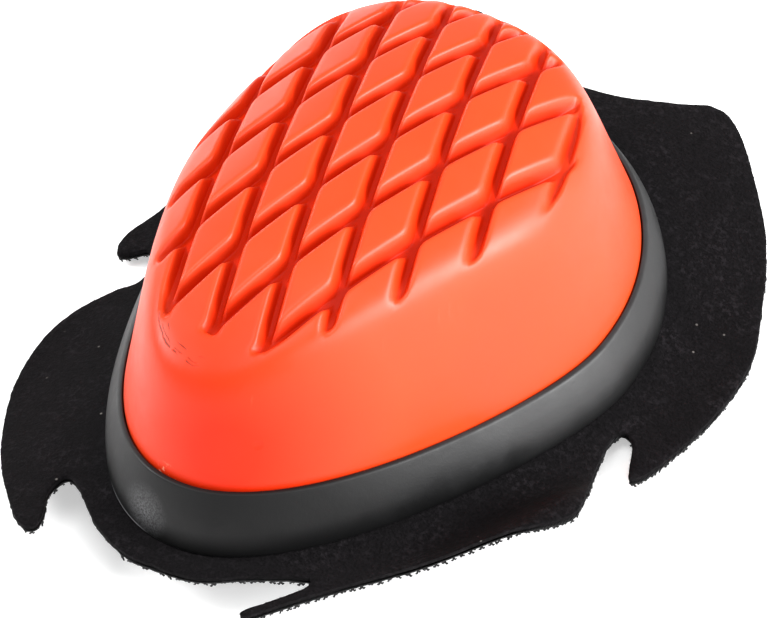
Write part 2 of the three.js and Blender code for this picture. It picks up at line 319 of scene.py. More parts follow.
def soft_min(a, b, reach):
    """The lower of two values, blended where they are closer than reach"""
    near = np.maximum(reach - np.abs(a - b), 0) / reach
    return np.minimum(a, b) - near * near * reach / 4


def eased(t, noseward):
    """Share of the way from the widest station to an end, eased at the start so that the outline's two
    halves meet without a crease, and its slope"""
    ease = np.where(noseward, NOSE_EASE, HEEL_EASE)
    root = np.sqrt(t**2 + ease**2)
    full = np.sqrt(1 + ease**2) - ease
    return (root - ease) / full, t / root / full


class Egg:
    """Egg-shaped plan: an outline in two halves that meet at the widest station"""

    def __init__(self, half, widest, nose, heel):
        self.half = half
        self.widest = widest
        self.nose = nose
        self.heel = heel

    def grown(self, side, nose=None, heel=None):
        nose = side if nose is None else nose
        heel = side if heel is None else heel
        return Egg(self.half + side, self.widest, self.nose + nose, self.heel + heel)

    def halves(self, noseward):
        """Exponents across and along, and the reach from the widest station, of each point's half"""
        across = np.where(noseward, NOSE_ACROSS, HEEL_ACROSS)
        along = np.where(noseward, NOSE_ALONG, HEEL_ALONG)
        return across, along, np.where(noseward, self.nose, self.heel)

    def outside(self, x, y):
        """0 on the outline, below 0 inside it, more beyond it"""
        noseward = y < self.widest
        across, along, reach = self.halves(noseward)
        t = np.abs(y - self.widest) / reach
        return (np.abs(x) / self.half) ** across + eased(t, noseward)[0] ** along - 1

    def normal(self, x, y):
        """Outward normal of the outline at its points"""
        noseward = y < self.widest
        across, along, reach = self.halves(noseward)
        u = x / self.half
        v = (y - self.widest) / reach
        t, slope = eased(np.abs(v), noseward)
        n = np.stack(
            [
                np.sign(u) * np.abs(u) ** (across - 1) * across / self.half,
                np.sign(v) * t ** (along - 1) * along * slope / reach,
            ]
        )
        return n / np.linalg.norm(n, axis=0)

    def points(self, turn):
        """Points of the outline at turns from 0 to a full circle"""
        c = np.cos(turn)
        s = np.sin(turn)
        across, along, reach = self.halves(s < 0)
        x = np.sign(c) * np.abs(c) ** (2 / across) * self.half
        ease = np.where(s < 0, NOSE_EASE, HEEL_EASE)
        t = np.abs(s) ** (2 / along) * (np.sqrt(1 + ease**2) - ease) + ease
        y = np.sign(s) * np.sqrt(t**2 - ease**2) * reach + self.widest
        return x, y

    def edge(self, x, y):
        """Point of the outline that lies beyond (x, y) as seen from the crown's middle, and how far out
        (x, y) lies on the way there: 0 in the middle, 1 on the outline"""
        middle = sizes().puck.crown_y
        away = np.maximum(np.hypot(x, y - middle), 1e-9)
        dx = x / away
        dy = (y - middle) / away
        low = np.zeros_like(away)
        high = np.full_like(away, 2 * (self.nose + self.heel))
        for _ in range(EDGE_SEARCH):
            mid = (low + high) / 2
            inner = self.outside(mid * dx, middle + mid * dy) < 0
            low = np.where(inner, mid, low)
            high = np.where(inner, high, mid)
        return low * dx, middle + low * dy, away / low

    def inset(self, x, y):
        """How far inside the outline a point lies, square to it"""
        ex, ey, share = self.edge(x, y)
        nx, ny = self.normal(ex, ey)
        return np.maximum(1 - share, 0) * (nx * ex + ny * (ey - sizes().puck.crown_y))


def puck_egg():
    s = sizes().puck
    return Egg(s.half_width, s.widest_y, s.nose, s.heel)


def foot_egg():
    s = sizes().base
    return puck_egg().grown(s.side, s.nose, s.heel)


def felt_top():
    s = sizes()
    return s.panel.hooks + s.base.clearance + s.panel.felt


def bend(x):
    """Height of the reference surface that the slider's underside follows over the knee"""
    s = sizes().bend
    fall = np.maximum(0, np.abs(x) - s.strip) ** 2 / (2 * s.radius)
    return -fall * s.drop / (fall**4 + s.drop**4) ** 0.25


def panel_height(x, y):
    """Height of the panel's underside: the bend, and the curl of the right nose wing"""
    s = sizes().bend
    beyond = np.maximum(foot_egg().outside(x, y), -1)
    over_wing = smooth((beyond - s.curl_begins) / (s.curl_full - s.curl_begins))
    right_side = smooth(x / (sizes().puck.half_width / 2))
    nose_side = smooth((s.curl_start - y) / s.curl_run)
    return bend(x) + s.curl * over_wing * right_side * nose_side


def to_nose(y):
    s = sizes().puck
    return np.maximum(0, s.crown_y - y) / (s.nose - s.widest_y + s.crown_y)


def lip_surface(x, y):
    """Height of the base's lip, which climbs towards the nose"""
    s = sizes().base
    return bend(x) + felt_top() + s.lip_height + s.lip_rise * to_nose(y) ** 2


def crown_over(x, y):
    """Height of the crown over the lip before its shoulder turns down"""
    s = sizes().puck
    to_heel = np.maximum(0, y - s.crown_y) / (s.heel + s.widest_y - s.crown_y)
    lengthways = s.nose_fall * to_nose(y) ** 2.4 + s.heel_fall * to_heel**2
    worn_left = np.maximum(-x - s.round_from, 0) ** 2 / (2 * s.round_radius)
    return np.maximum(s.crown - s.side_fall * (x / s.half_width) ** 2 - lengthways - worn_left, MM)


def wall_share(x, y):
    """Height of the drafted wall over a point as a share of the crown there: 0 on the lower edge, 1 about
    the shoulder"""
    return puck_egg().inset(x, y) / math.tan(sizes().puck.draft) / crown_over(x, y)


def groove_section():
    """Slope of a groove's wall, and the distances from its middle at which its fillet and the block's
    rounded edge start and end"""
    s = sizes().tread
    rise = math.atan2(s.depth, (s.top - s.floor) / 2)
    fillet_start = s.floor / 2 - s.floor_radius * math.tan(rise / 2)
    fillet_end = fillet_start + s.floor_radius * math.sin(rise)
    edge_end = s.top / 2 + s.edge_radius * math.tan(rise / 2)
    return rise, fillet_start, fillet_end, edge_end - s.edge_radius * math.sin(rise), edge_end


def groove_profile(away):
    """Depth of a groove at distances from its middle: floor, fillet, wall and the block's rounded edge"""
    s = sizes().tread
    rise, fillet_start, fillet_end, edge_start, edge_end = groove_section()
    into_fillet = np.clip(away - fillet_start, 0, s.floor_radius)
    fillet = s.depth - s.floor_radius + np.sqrt(s.floor_radius**2 - into_fillet**2)
    wall = s.depth - (away - s.floor / 2) * math.tan(rise)
    into_edge = np.clip(edge_end - away, 0, s.edge_radius)
    edge = s.edge_radius - np.sqrt(s.edge_radius**2 - into_edge**2)
    return np.select(
        [away <= fillet_start, away < fillet_end, away < edge_start, away < edge_end],
        [s.depth, fillet, wall, edge],
        0.0,
    )


def tread_stations():
    """Distances from a groove's middle, up to half a pitch, at which the tread's mesh has a line"""
    rise, fillet_start, fillet_end, edge_start, edge_end = groove_section()
    turns = np.linspace(rise, 0, 5)
    block = np.linspace(edge_end, half_pitch(), 7)[1:]
    return np.concatenate(
        [
            [0],
            np.linspace(fillet_start, fillet_end, 4),
            [(fillet_end + edge_start) / 2],
            edge_end - sizes().tread.edge_radius * np.sin(turns),
            block,
        ]
    )


def half_pitch():
    """Half the distance from groove to groove, square to them"""
    s = sizes().tread
    return s.half_width * s.half_length / math.hypot(s.half_width, s.half_length)


def puck_top(x, y):
    """Top of the puck without its tread: wall, shoulder and crown"""
    share = wall_share(x, y)
    n = sizes().puck.sharpness
    return lip_surface(x, y) + crown_over(x, y) * share / (1 + share**n) ** (1 / n)


def tread_depth(x, y):
    """Depth of the tread: two families of grooves, which rise to rounded ends short of the walls"""
    s = sizes().tread
    across = x / s.half_width
    along = y / s.half_length
    gaps = [np.abs(a - 2 * np.round(a / 2)) * half_pitch() for a in (across + along, across - along)]
    away = np.maximum(soft_min(*gaps, s.corner_blend), 0)
    ends = puck_egg().grown(-s.end_side, -s.end_nose, -s.end_heel)
    inset = np.maximum(np.minimum(ends.inset(x, y), y - s.end_front), 0)
    past = np.maximum(s.end_radius - inset, 0)
    rise = np.sqrt(np.clip(inset / s.end_run, 0, 1))
    return groove_profile(np.hypot(away, past)) * rise


def puck_height(x, y):
    return puck_top(x, y) - tread_depth(x, y)


def fresh():
    """Leaves edit mode and deselects everything, so that an operator acts on the new piece alone"""
    if bpy.context.mode != "OBJECT":
        bpy.ops.object.mode_set(mode="OBJECT")
    bpy.ops.object.select_all(action="DESELECT")


def pick(obj, *others):
    """Selects pieces, the first of them active"""
    fresh()
    for each in (*others, obj):
        each.select_set(True)
    bpy.context.view_layer.objects.active = obj


def mesh_object(name, points, faces):
    mesh = bpy.data.meshes.new(name)
    mesh.from_pydata([tuple(p) for p in points], [], [tuple(f) for f in faces])
    obj = bpy.data.objects.new(name, mesh)
    bpy.context.scene.collection.objects.link(obj)
    return obj


def set_points(obj, points):
    """Puts an object's vertices in place"""
    obj.data.vertices.foreach_set("co", np.asarray(points, np.float32).ravel())
    obj.data.update()


def get_points(obj):
    points = np.zeros(len(obj.data.vertices) * 3, np.float32)
    obj.data.vertices.foreach_get("co", points)
    return points.reshape(-1, 3).astype(float)


def store(obj, name, values):
    """Stores a value for each vertex, for the materials to read"""
    obj.data.attributes.new(name, "FLOAT", "POINT").data.foreach_set("value", np.asarray(values, np.float32))


def grid(name, columns, rows):
    """A grid primitive with its vertices in rows, ready to be put in place"""
    fresh()
    bpy.ops.mesh.primitive_grid_add(x_subdivisions=columns - 1, y_subdivisions=rows - 1, size=1)
    obj = bpy.context.object
    obj.name = name
    obj.data.name = name
    return obj


def weld(obj, distance):
    """Merges doubles and turns the faces outwards"""
    bpy.ops.object.mode_set(mode="EDIT")
    bpy.ops.mesh.select_all(action="SELECT")
    bpy.ops.mesh.remove_doubles(threshold=distance)
    bpy.ops.mesh.normals_make_consistent(inside=False)
    bpy.ops.object.mode_set(mode="OBJECT")


def skin(name, rings):
    """A skin through rings of points, bottom first: a grid that is rolled round until its sides meet"""
    rolled = [np.vstack([ring, ring[:1]]) for ring in rings]
    obj = grid(name, len(rolled[0]), len(rolled))
    set_points(obj, np.vstack(rolled))
    return obj


def join(first, *others):
    pick(first, *others)
    bpy.ops.object.join()
    return first


def finish_piece(obj, material, node=None, crease=math.radians(40)):
    """Shades a piece, gives it its material, and seats it in the frame"""
    pick(obj)
    bpy.ops.object.shade_smooth_by_angle(angle=crease)
    obj.data.materials.clear()
    obj.data.materials.append(material)
    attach(obj, "root")
    if node:
        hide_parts(node)


def tube_faces(start, sides, rings):
    """Faces of a closed tube through rings of points, which are numbered from start"""
    faces = []
    last = start + (rings - 1) * sides
    for low in range(start, last, sides):
        for side in range(sides):
            a = low + side
            b = low + (side + 1) % sides
            faces.append((a, b, b + sides, a + sides))
    faces.append(tuple(range(start + sides - 1, start - 1, -1)))
    faces.append(tuple(range(last, last + sides)))
    return faces


def ring_points(x, y, z):
    return np.stack([x, y, np.broadcast_to(z, np.shape(x))], axis=1)


def drawn_in(x, y, share):
    """Plan points drawn in towards the crown's middle by a share"""
    middle = sizes().puck.crown_y
    return x * share, middle + (y - middle) * share


def rounded(before, corner, after, radius, steps=4):
    """Rings that turn round a corner between the rings before and after it"""

    def off_corner(other):
        way = other - corner
        far = np.linalg.norm(way, axis=1, keepdims=True)
        return corner + way / far * np.minimum(radius, far * 0.49)

    start = off_corner(before)
    end = off_corner(after)
    shares = np.linspace(0, 1, steps + 1)
    return [(1 - t) ** 2 * start + 2 * t * (1 - t) * corner + t * t * end for t in shares]


def tree_of(name):
    material = bpy.data.materials.get(name) or bpy.data.materials.new(name)
    material.use_nodes = True
    material.node_tree.nodes.clear()
    return material, material.node_tree


def add(tree, kind, inputs=None, **settings):
    """Adds a node, sets it, and sets or links its inputs"""
    node = tree.nodes.new(kind)
    for key, value in settings.items():
        setattr(node, key, value)
    for key, value in (inputs or {}).items():
        if isinstance(value, bpy.types.NodeSocket):
            tree.links.new(value, node.inputs[key])
        else:
            node.inputs[key].default_value = value
    return node


def object_place(tree):
    return add(tree, "ShaderNodeTexCoord").outputs["Object"]


def stored(tree, name):
    return add(tree, "ShaderNodeAttribute", attribute_name=name).outputs["Fac"]


def noise(tree, place, size, detail=2.0, roughness=0.5):
    """Noise with features of about a given size"""
    inputs = {"Vector": place, "Scale": 1 / size, "Detail": detail, "Roughness": roughness}
    return add(tree, "ShaderNodeTexNoise", inputs).outputs[0]


def span(tree, value, low, high, out_low=0.0, out_high=1.0):
    inputs = {"Value": value, "From Min": low, "From Max": high, "To Min": out_low, "To Max": out_high}
    return add(tree, "ShaderNodeMapRange", inputs, clamp=True).outputs[0]


def math_node(tree, operation, a, b):
    return add(tree, "ShaderNodeMath", {0: a, 1: b}, operation=operation).outputs[0]


def mix(tree, factor, a, b):
    """Mixes two colours"""
    return add(tree, "ShaderNodeMix", {0: factor, 6: a, 7: b}, data_type="RGBA").outputs[2]


def distance(tree, place, centre):
    return add(tree, "ShaderNodeVectorMath", {0: place, 1: centre}, operation="DISTANCE").outputs["Value"]


def near(tree, place, mark):
    """1 within a mark's inner distance, fading to 0 at its outer one"""
    centre, inner, outer = MARKS[mark]
    away = distance(tree, place, [v * MM for v in centre])
    return span(tree, away, inner * MM, outer * MM, 1.0, 0.0)


def bump(tree, height, depth, strength=1.0, normal=None):
    inputs = {"Height": height, "Distance": depth, "Strength": strength}
    if normal is not None:
        inputs["Normal"] = normal
    return add(tree, "ShaderNodeBump", inputs).outputs[0]


def shade(tree, more=None, **inputs):
    """Principled shader with its output; input names use _ for a space"""
    named = {key.replace("_", " "): value for key, value in inputs.items()}
    named.update(more or {})
    shader = add(tree, "ShaderNodeBsdfPrincipled", named)
    add(tree, "ShaderNodeOutputMaterial", {"Surface": shader.outputs[0]})


def rgba(values, scale=1.0):
    return (*[min(v * scale, 1.0) for v in values], 1.0)


def tinted(values, tint):
    return (*[v * part for v, part in zip(values, tint)], 1)


def plastic_material():
    """Satin moulded plastic with painted shade down in the grooves and towards the nose, with scratches and
    a dent beside the nose and chips along the lower edge"""
    material, tree = tree_of("satin_plastic")
    place = object_place(tree)
    base = sizes().colours.puck
    mottle = noise(tree, place, 14 * MM, 3.0)
    colour_out = mix(tree, span(tree, mottle, 0.35, 0.65), rgba(base, 0.96), rgba(base, 1.04))
    # Painted shade: the plastic's colour is darkened towards the nose, and its gloss is lowered there too
    painted_nose_shade = near(tree, place, "painted shade at the puck's nose")
    colour_out = mix(tree, painted_nose_shade, colour_out, tinted(base, NOSE_PAINTED_SHADE))
    # Painted shade: the colour is darkened and deepened down in the grooves, and the gloss is lowered there
    painted_groove_shade = span(tree, stored(tree, "groove"), 0.2, 0.9)
    colour_out = mix(tree, painted_groove_shade, colour_out, tinted(base, GROOVE_PAINTED_SHADE))
    arcs = scratch_arcs(tree, place)
    colour_out = mix(tree, arcs, colour_out, rgba(base, 0.28))
    grit = noise(tree, place, 0.8 * MM, 2.0)
    chipped = near(tree, place, "chips")
    chips = math_node(tree, "MULTIPLY", chipped, span(tree, grit, 0.6, 0.63))
    colour_out = mix(tree, chips, colour_out, CHIPPED_PLASTIC)
    dent = near(tree, place, "dent")
    satin = noise(tree, place, 0.3 * MM, 2.0)
    waves = noise(tree, place, 7 * MM, 2.0)
    normal = bump(tree, satin, 0.004 * MM)
    normal = bump(tree, waves, 0.06 * MM, normal=normal)
    normal = bump(tree, math_node(tree, "ADD", arcs, chips), -0.05 * MM, normal=normal)
    normal = bump(tree, dent, -0.12 * MM, normal=normal)
    roughness = span(tree, noise(tree, place, 5 * MM, 4.0), 0.3, 0.7, 0.36, 0.44)
    shine = span(tree, painted_groove_shade, 0.0, 1.0, 0.35, 0.1)
    shine = math_node(tree, "MULTIPLY", shine, span(tree, painted_nose_shade, 0.0, 1.0, 1.0, 0.45))
    gloss = {"Specular IOR Level": shine}
    shade(tree, gloss, Base_Color=colour_out, Roughness=roughness, Normal=normal)
    return material


def scratch_arcs(tree, place):
    """Thin arcs scratched round the shoulder beside the nose"""
    wobble = noise(tree, place, 4 * MM, 2.0)
    away = distance(tree, place, SCRATCH_CENTRE)
    away = math_node(tree, "ADD", away, math_node(tree, "MULTIPLY", wobble, 1.6 * MM))
    total = None
    for radius, width in SCRATCHES:
        off = math_node(tree, "ABSOLUTE", math_node(tree, "SUBTRACT", away, radius * MM), 0.0)
        line = span(tree, off, width * MM * 0.5, width * MM * 1.4, 1.0, 0.0)
        total = line if total is None else math_node(tree, "MAXIMUM", total, line)
    broken = span(tree, noise(tree, place, 2.2 * MM, 3.0), 0.46, 0.54)
    here = near(tree, place, "scratches")
    return math_node(tree, "MULTIPLY", total, math_node(tree, "MULTIPLY", broken, here))


def rubber_material():
    """Dark moulded rubber, mottled and dusty, with painted shade at its foot and towards the nose, and a
    scuff beside the nose
    """
    material, tree = tree_of("moulded_rubber")
    place = object_place(tree)
    base = sizes().colours.rubber
    cloud = noise(tree, place, 9 * MM, 4.0, 0.6)
    colour_out = mix(tree, span(tree, cloud, 0.35, 0.7), rgba(base, 0.8), rgba(base, 1.4))
    rise = stored(tree, "rise")
    # Painted shade: the rubber is darkened towards its foot, where it meets the felt
    colour_out = mix(tree, span(tree, rise, 0.3, 5.0), rgba(base, 0.25), colour_out)
    # Painted shade: the rubber is darkened towards the nose, and its gloss is lowered there too
    painted_nose_shade = near(tree, place, "painted shade at the base's nose")
    colour_out = mix(tree, painted_nose_shade, colour_out, rgba(base, 0.3))
    grain = noise(tree, place, 0.35 * MM, 3.0, 0.6)
    scuff = near(tree, place, "scuff")
    dust = math_node(tree, "MULTIPLY", scuff, span(tree, grain, 0.35, 0.65))
    colour_out = mix(tree, math_node(tree, "MULTIPLY", dust, 0.9), colour_out, rgba(base, 9.0))
    flash = near(tree, place, "moulding flash")
    flash = math_node(tree, "MULTIPLY", flash, span(tree, rise, 0.3, 0.6, 1.0, 0.0))
    colour_out = mix(tree, flash, colour_out, rgba(base, 14.0))
    normal = bump(tree, grain, 0.02 * MM)
    normal = bump(tree, cloud, 0.15 * MM, normal=normal)
    roughness = span(tree, cloud, 0.3, 0.7, 0.42, 0.6)
    shine = span(tree, rise, 0.3, 5.0, 0.12, 0.4)
    shine = math_node(tree, "MULTIPLY", shine, span(tree, painted_nose_shade, 0.0, 1.0, 1.0, 0.5))
    gloss = {"Specular IOR Level": shine}
    shade(tree, gloss, Base_Color=colour_out, Roughness=roughness, Normal=normal)
    return material


def felt_material():
    """Black brushed felt: matted fibres, a soft sheen and a few specks of lint"""
    material, tree = tree_of("black_felt")
    place = object_place(tree)
    base = sizes().colours.felt
    matted = noise(tree, place, 0.5 * MM, 4.0, 0.65)
    clouds = noise(tree, place, 7 * MM, 3.0)
    tufts = noise(tree, place, 1.1 * MM, 3.0, 0.7)
    colour_out = mix(tree, span(tree, matted, 0.35, 0.7), rgba(base, 0.6), rgba(base, 2.0))
    raised = math_node(tree, "MULTIPLY", span(tree, tufts, 0.5, 0.66), span(tree, clouds, 0.35, 0.65))
    colour_out = mix(tree, raised, colour_out, rgba(base, 3.8))
    cells = add(tree, "ShaderNodeTexVoronoi", {"Vector": place, "Scale": 1 / (2.6 * MM)})
    draw = add(tree, "ShaderNodeSeparateColor", {0: cells.outputs["Color"]}).outputs[0]
    rare = span(tree, draw, 0.94, 0.96)
    specks = math_node(tree, "MULTIPLY", span(tree, cells.outputs["Distance"], 0.12, 0.04), rare)
    colour_out = mix(tree, specks, colour_out, LINT)
    fine = noise(tree, place, 0.16 * MM, 2.0)
    normal = bump(tree, matted, 0.16 * MM)
    normal = bump(tree, tufts, 0.25 * MM, normal=normal)
    normal = bump(tree, fine, 0.05 * MM, normal=normal)
    dull = {"Specular IOR Level": 0.06}
    shade(tree, dull, Base_Color=colour_out, Roughness=0.95, Normal=normal, Sheen_Weight=0.01)
    return material


def hook_material():
    """Black nylon of the hook tape"""
    material, tree = tree_of("hook_nylon")
    place = object_place(tree)
    base = sizes().colours.hooks
    threads = {"Vector": place, "Scale": 900.0, "Distortion": 1.5}
    weave = add(tree, "ShaderNodeTexWave", threads, wave_type="BANDS").outputs[0]
    patches = noise(tree, place, 3 * MM, 3.0)
    colour_out = mix(tree, span(tree, patches, 0.3, 0.7), rgba(base, 0.7), rgba(base, 2.2))
    normal = bump(tree, weave, 0.06 * MM)
    roughness = span(tree, patches, 0.3, 0.7, 0.45, 0.6)
    dull = {"Specular IOR Level": 0.15}
    shade(tree, dull, Base_Color=colour_out, Roughness=roughness, Normal=normal)
    return material


def floor_material():
    """Plain pale paper that glows a little"""
    material, tree = tree_of("pale_floor")
    place = object_place(tree)
    base = sizes().colours.floor
    paper = noise(tree, place, 0.02, 2.0)
    colour_out = mix(tree, paper, rgba(base, 0.99), rgba(base, 1.0))
    glow = {"Emission Color": rgba(base), "Emission Strength": FLOOR_GLOW}
    shade(tree, glow, Base_Color=colour_out, Roughness=0.9)
    return material


class SLIDER_OT_puck(bpy.types.Operator):
    """Model the puck: the tread as a diamond grid, trimmed on the shoulder and drawn down into the walls"""

    bl_idname = "slider.puck"
    bl_label = "Puck"

    def execute(self, context):
        tread = self.tread_sheet()
        self.trim(tread)
        points = get_points(tread)
        rim = self.rim(tread, points)
        points[:, 2] = puck_height(points[:, 0], points[:, 1])
        set_points(tread, points)
        walls = self.walls(rim[:, 0], rim[:, 1])
        puck = join(tread, walls)
        weld(puck, 0.01 * MM)
        points = get_points(puck)
        store(puck, "groove", tread_depth(points[:, 0], points[:, 1]) / sizes().tread.depth)
        finish_piece(puck, plastic_material(), "slider_puck", math.radians(80))
        return {"FINISHED"}

    def tread_sheet(self):
        """Flat grid whose lines run along the grooves' floors, fillets, walls and edges"""
        s = sizes()
        away = tread_stations()
        reach = s.puck.nose + s.puck.heel
        rows = math.ceil(reach / (2 * s.tread.half_length)) + 4
        middles = [2 * k * half_pitch() for k in range(-rows, rows + 1)]
        lines = [middle + side * d for middle in middles for side in (-1, 1) for d in away]
        lines = np.unique(np.round(lines, 8)) / half_pitch()
        sheet = grid("treaded_puck", len(lines), len(lines))
        a, b = np.meshgrid(lines, lines)
        x = s.tread.half_width * (a + b) / 2
        y = s.tread.half_length * (a - b) / 2
        set_points(sheet, np.stack([x.ravel(), y.ravel(), np.zeros(x.size)], axis=1))
        return sheet

    def trim(self, sheet):
        """Cuts the sheet along the shoulder, past the ends of the grooves"""
        planes = self.shoulder_planes(TRIM_PLANES)
        spare = 3 * MM
        points = get_points(sheet)[:, :2]
        beyond = np.max([(points - co) @ no for co, no in planes], axis=0)
        bpy.ops.object.mode_set(mode="EDIT")
        mesh = bmesh.from_edit_mesh(sheet.data)
        outer = [v for v, far in zip(mesh.verts, beyond) if far > spare]
        bmesh.ops.delete(mesh, geom=outer, context="VERTS")
        bmesh.update_edit_mesh(sheet.data)
        for co, no in planes:
            bpy.ops.mesh.select_all(action="SELECT")
            bpy.ops.mesh.bisect(plane_co=(*co, 0), plane_no=(*no, 0), clear_outer=True)
        bpy.ops.mesh.select_all(action="SELECT")
        bpy.ops.mesh.remove_doubles(threshold=0.06 * MM)
        bpy.ops.mesh.dissolve_degenerate(threshold=0.02 * MM)
        bpy.ops.mesh.delete_loose()
        bpy.ops.object.mode_set(mode="OBJECT")

    def shoulder_planes(self, count):
        """Upright planes (point, outward normal) round the shoulder, past the ends of the grooves"""
        turn = np.linspace(0, 2 * math.pi, count, endpoint=False)
        ex, ey = puck_egg().points(turn)
        low = np.full(count, 0.5)
        high = np.ones(count)
        for _ in range(SHOULDER_SEARCH):
            mid = (low + high) / 2
            inner = wall_share(*drawn_in(ex, ey, mid)) > GROOVES_RUN_OUT
            low = np.where(inner, mid, low)
            high = np.where(inner, high, mid)
        ring = np.stack(drawn_in(ex, ey, low), axis=1)
        planes = []
        for co, following in zip(ring, np.roll(ring, -1, axis=0)):
            way = following - co
            planes.append((co, np.array([way[1], -way[0]]) / np.linalg.norm(way)))
        return planes

    def rim(self, sheet, points):
        """The sheet's border, walked from vertex to vertex"""
        mesh = bmesh.new()
        mesh.from_mesh(sheet.data)
        beside = {}
        for edge in mesh.edges:
            if edge.is_boundary:
                a, b = (v.index for v in edge.verts)
                beside.setdefault(a, []).append(b)
                beside.setdefault(b, []).append(a)
        mesh.free()
        start = min(beside)
        loop = [start, beside[start][0]]
        while loop[-1] != start:
            a, b = beside[loop[-1]]
            loop.append(b if a == loop[-2] else a)
        if len(loop) != len(beside) + 1:
            raise RuntimeError("The tread's border is not a single loop")
        ring = points[loop[:-1]]
        turn = np.unwrap(np.arctan2(ring[:, 1] - sizes().puck.crown_y, ring[:, 0]))
        return ring if turn[-1] > turn[0] else ring[::-1]

    def walls(self, x, y):
        """Walls from the shoulder down to the lower edge, and the puck's seat under them"""
        s = sizes()
        turn = np.sort(np.unwrap(np.arctan2(y - s.puck.crown_y, x)))
        away = np.hypot(x, y - s.puck.crown_y)
        ex, ey, start = puck_egg().edge(away * np.cos(turn), s.puck.crown_y + away * np.sin(turn))
        rings = []
        for share in WALL_SHARES:
            px, py = drawn_in(ex, ey, start + (1 - start) * share)
            rings.append(ring_points(px, py, puck_height(px, py)))
        rings[0] = ring_points(x, y, puck_height(x, y))
        for share in UNDER_SHARES:
            px, py = drawn_in(ex, ey, share)
            rings.append(ring_points(px, py, lip_surface(px, py) - s.base.pocket))
        return skin("walls", rings[::-1])


class SLIDER_OT_base(bpy.types.Operator):
    """Model the rubber base: a flared ring with a rounded lip round the pocket that holds the puck"""

    bl_idname = "slider.base"
    bl_label = "Rubber base"

    def execute(self, context):
        s = sizes().base
        turn = (np.arange(BASE_COLUMNS) + 0.5) * 2 * math.pi / BASE_COLUMNS
        lift = felt_top() + s.clearance
        foot = foot_egg().points(turn)
        normal = foot_egg().normal(*foot)
        side_lip = s.clearance + s.lip
        lip = puck_egg().grown(side_lip, side_lip, s.clearance + s.lip_heel).points(turn)
        pocket = puck_egg().grown(s.clearance).points(turn)
        rings = []
        for share in FOOT_SHARES:
            x, y = drawn_in(*foot, share)
            rings.append(ring_points(x, y, bend(x) + lift))
        low = ring_points(*foot, bend(foot[0]) + lift)
        top = ring_points(*lip, lip_surface(*lip))
        inner = ring_points(*pocket, lip_surface(*pocket))
        wall = []
        for share in np.linspace(0, 1, BASE_WALL_RINGS + 2)[1:-1]:
            swell = s.bulge * math.sin(math.pi * share)
            ring = low + (top - low) * share
            ring[:, :2] += normal.T * swell
            wall.append(ring)
        rings += rounded(rings[-1], low, wall[0], FOOT_RADIUS)
        rings += wall
        rings += rounded(wall[-1], top, inner, s.lip_radius, 5)
        seat = inner - np.array([0, 0, s.pocket + s.clearance])
        rings += rounded(top, inner, seat, POCKET_RADIUS)
        rings.append(seat)
        for share in UNDER_SHARES[1:]:
            x, y = drawn_in(*pocket, share)
            rings.append(ring_points(x, y, lip_surface(x, y) - s.pocket - s.clearance))
        base = skin("rubber_ring", rings)
        weld(base, 0.005 * MM)
        points = get_points(base)
        store(base, "rise", (points[:, 2] - bend(points[:, 0]) - lift) / MM)
        finish_piece(base, rubber_material(), "rubber_base")
        return {"FINISHED"}


def outline():
    """The panel's outline: a spline through its table, from the nose round the right side to the heel and
    back along the left side"""
    s = sizes().panel
    foot = foot_egg()
    half = foot.half + s.side
    nose = foot.nose - foot.widest + s.nose
    heel = foot.heel + foot.widest + s.heel
    rows = [(0, -1), *RIGHT_OUTLINE, (0, 1), *[(-side, along) for side, along in LEFT_OUTLINE], (0, -1)]
    knots = np.array([(side * half, along * (nose if along < 0 else heel)) for side, along in rows])
    padded = np.vstack([knots[:1], knots, knots[-1:]])
    out = []
    for p0, p1, p2, p3 in zip(padded, padded[1:], padded[2:], padded[3:]):
        for t in np.arange(OUTLINE_STEPS) / OUTLINE_STEPS:
            v0 = (p2 - p0) / 2
            v1 = (p3 - p1) / 2
            cubic = (2 * (p1 - p2) + v0 + v1) * t**3 + (3 * (p2 - p1) - 2 * v0 - v1) * t**2
            out.append(cubic + v0 * t + p1)
    return np.array(out)


def even(loop, spacing):
    """A closed loop with its points at even distances"""
    closed = np.vstack([loop, loop[:1]])
    way = np.concatenate([[0], np.cumsum(np.linalg.norm(np.diff(closed, axis=0), axis=1))])
    count = int(way[-1] / spacing)
    at = np.linspace(0, way[-1], count, endpoint=False)
    return np.stack([np.interp(at, way, closed[:, k]) for k in (0, 1)], axis=1)


def inward(loop):
    """Unit normals that point into a loop which runs anticlockwise"""
    way = np.roll(loop, -1, axis=0) - np.roll(loop, 1, axis=0)
    normal = np.stack([-way[:, 1], way[:, 0]], axis=1)
    return normal / np.linalg.norm(normal, axis=1, keepdims=True)


def inside(loop, points):
    """Which points lie inside a loop"""
    x, y = points.T
    hits = np.zeros(len(points), bool)
    for (x0, y0), (x1, y1) in zip(loop, np.roll(loop, -1, axis=0)):
        if y0 != y1:
            hits ^= ((y0 > y) != (y1 > y)) & (x < (x1 - x0) * (y - y0) / (y1 - y0) + x0)
    return hits


def clear_of(loop, points, distance):
    """Which points lie further than a distance from a loop's points"""
    nearest = [np.min(np.linalg.norm(loop - p, axis=1)) for p in points]
    return np.array(nearest) > distance


def field(loop, spacing, margin):
    """A regular field of points inside a loop, clear of its edge"""
    low = loop.min(0)
    high = loop.max(0)
    xs = np.arange(low[0], high[0], spacing)
    ys = np.arange(low[1], high[1], spacing * 0.87)
    points = np.array([(x + (k % 2) * spacing / 2, y) for k, y in enumerate(ys) for x in xs])
    points = points[inside(loop, points)]
    return points[clear_of(loop, points, margin)]


